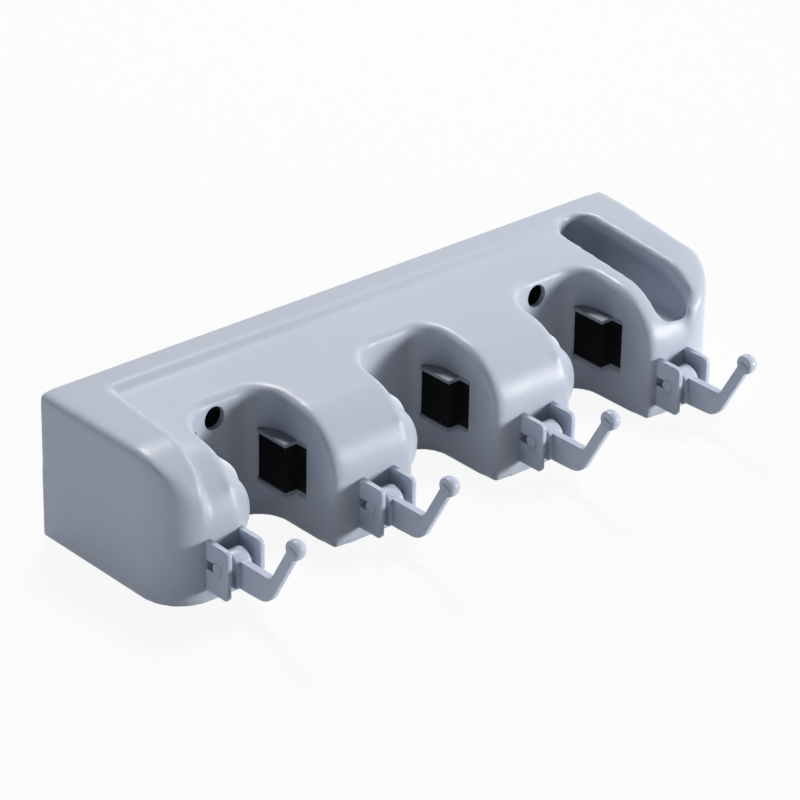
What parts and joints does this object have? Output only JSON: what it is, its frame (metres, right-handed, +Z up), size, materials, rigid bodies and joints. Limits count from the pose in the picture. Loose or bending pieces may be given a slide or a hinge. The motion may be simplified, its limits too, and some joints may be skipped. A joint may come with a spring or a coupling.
{
  "type": "wall mop holder rack",
  "caption": "Wall rack whose slots grip broom and mop handles between a rolling tyre and a rubber pad, with fold-up hooks and a small tray.",
  "frame": {"origin": "midway between the two wall screws, on the wall", "axes": "+X runs to the right as seen from the room, +Y goes into the wall, so the front faces -Y, and +Z is up"},
  "size_m": [0.2635, 0.1121, 0.0555],
  "materials": {
    "shell": "moulded, semi-matte light cool grey",
    "plate": "moulded, matte grey",
    "screws": "zinc-plated steel",
    "inner": "moulded, matte grey",
    "axle": "plain steel rod",
    "core": "moulded, matte grey",
    "tyre": "soft pale grey rubber",
    "pad": "black ribless rubber",
    "bracket": "moulded, matte blue-grey",
    "hook": "moulded, matte blue-grey"
  },
  "bodies": {
    "rack": {"housing_1": "shell", "housing_2": "shell", "housing_3": "shell", "housing_4": "shell", "back_plate": "plate", "back_plate_screws": "screws", "foot_screws": "screws", "roller_track_1": "inner", "roller_track_2": "inner", "roller_track_3": "inner", "pad_frame_1": "inner", "pad_frame_2": "inner", "pad_frame_3": "inner", "friction_pad_1": "pad", "friction_pad_2": "pad", "friction_pad_3": "pad", "hook_bracket_1": "bracket", "hook_bracket_2": "bracket", "hook_bracket_3": "bracket", "hook_bracket_4": "bracket"},
    "axle_1": {"roller_axle_1": "axle"},
    "roller_1": {"roller_core_1": "core", "roller_tyre_1": "tyre"},
    "axle_2": {"roller_axle_2": "axle"},
    "roller_2": {"roller_core_2": "core", "roller_tyre_2": "tyre"},
    "axle_3": {"roller_axle_3": "axle"},
    "roller_3": {"roller_core_3": "core", "roller_tyre_3": "tyre"},
    "hook_body_1": {"hook_1": "hook", "hook_pin_1": "hook"},
    "hook_body_2": {"hook_2": "hook", "hook_pin_2": "hook"},
    "hook_body_3": {"hook_3": "hook", "hook_pin_3": "hook"},
    "hook_body_4": {"hook_4": "hook", "hook_pin_4": "hook"}
  },
  "joints": [
    {"name": "roller_rise_1", "type": "slide", "parent": "rack", "child": "axle_1", "axis": [-0.9397, 0, 0.342], "range_m": [0, 0.0095]},
    {"name": "roller_spin_1", "type": "hinge", "parent": "axle_1", "child": "roller_1", "pos_m": [-0.094, -0.0465, -0.016], "axis": [0, 1, 0], "continuous": true},
    {"name": "roller_rise_2", "type": "slide", "parent": "rack", "child": "axle_2", "axis": [-0.9397, 0, 0.342], "range_m": [0, 0.0095]},
    {"name": "roller_spin_2", "type": "hinge", "parent": "axle_2", "child": "roller_2", "pos_m": [-0.019, -0.0465, -0.016], "axis": [0, 1, 0], "continuous": true},
    {"name": "roller_rise_3", "type": "slide", "parent": "rack", "child": "axle_3", "axis": [-0.9397, 0, 0.342], "range_m": [0, 0.0095]},
    {"name": "roller_spin_3", "type": "hinge", "parent": "axle_3", "child": "roller_3", "pos_m": [0.056, -0.0465, -0.016], "axis": [0, 1, 0], "continuous": true},
    {"name": "hook_fold_1", "type": "hinge", "parent": "rack", "child": "hook_body_1", "pos_m": [-0.101, -0.0771, -0.0279], "axis": [-1, 0, 0], "range_deg": [0, 70]},
    {"name": "hook_fold_2", "type": "hinge", "parent": "rack", "child": "hook_body_2", "pos_m": [-0.0339, -0.0771, -0.0279], "axis": [-1, 0, 0], "range_deg": [0, 70]},
    {"name": "hook_fold_3", "type": "hinge", "parent": "rack", "child": "hook_body_3", "pos_m": [0.0411, -0.0771, -0.0279], "axis": [-1, 0, 0], "range_deg": [0, 70]},
    {"name": "hook_fold_4", "type": "hinge", "parent": "rack", "child": "hook_body_4", "pos_m": [0.1086, -0.0771, -0.0279], "axis": [-1, 0, 0], "range_deg": [0, 70]}
  ]
}
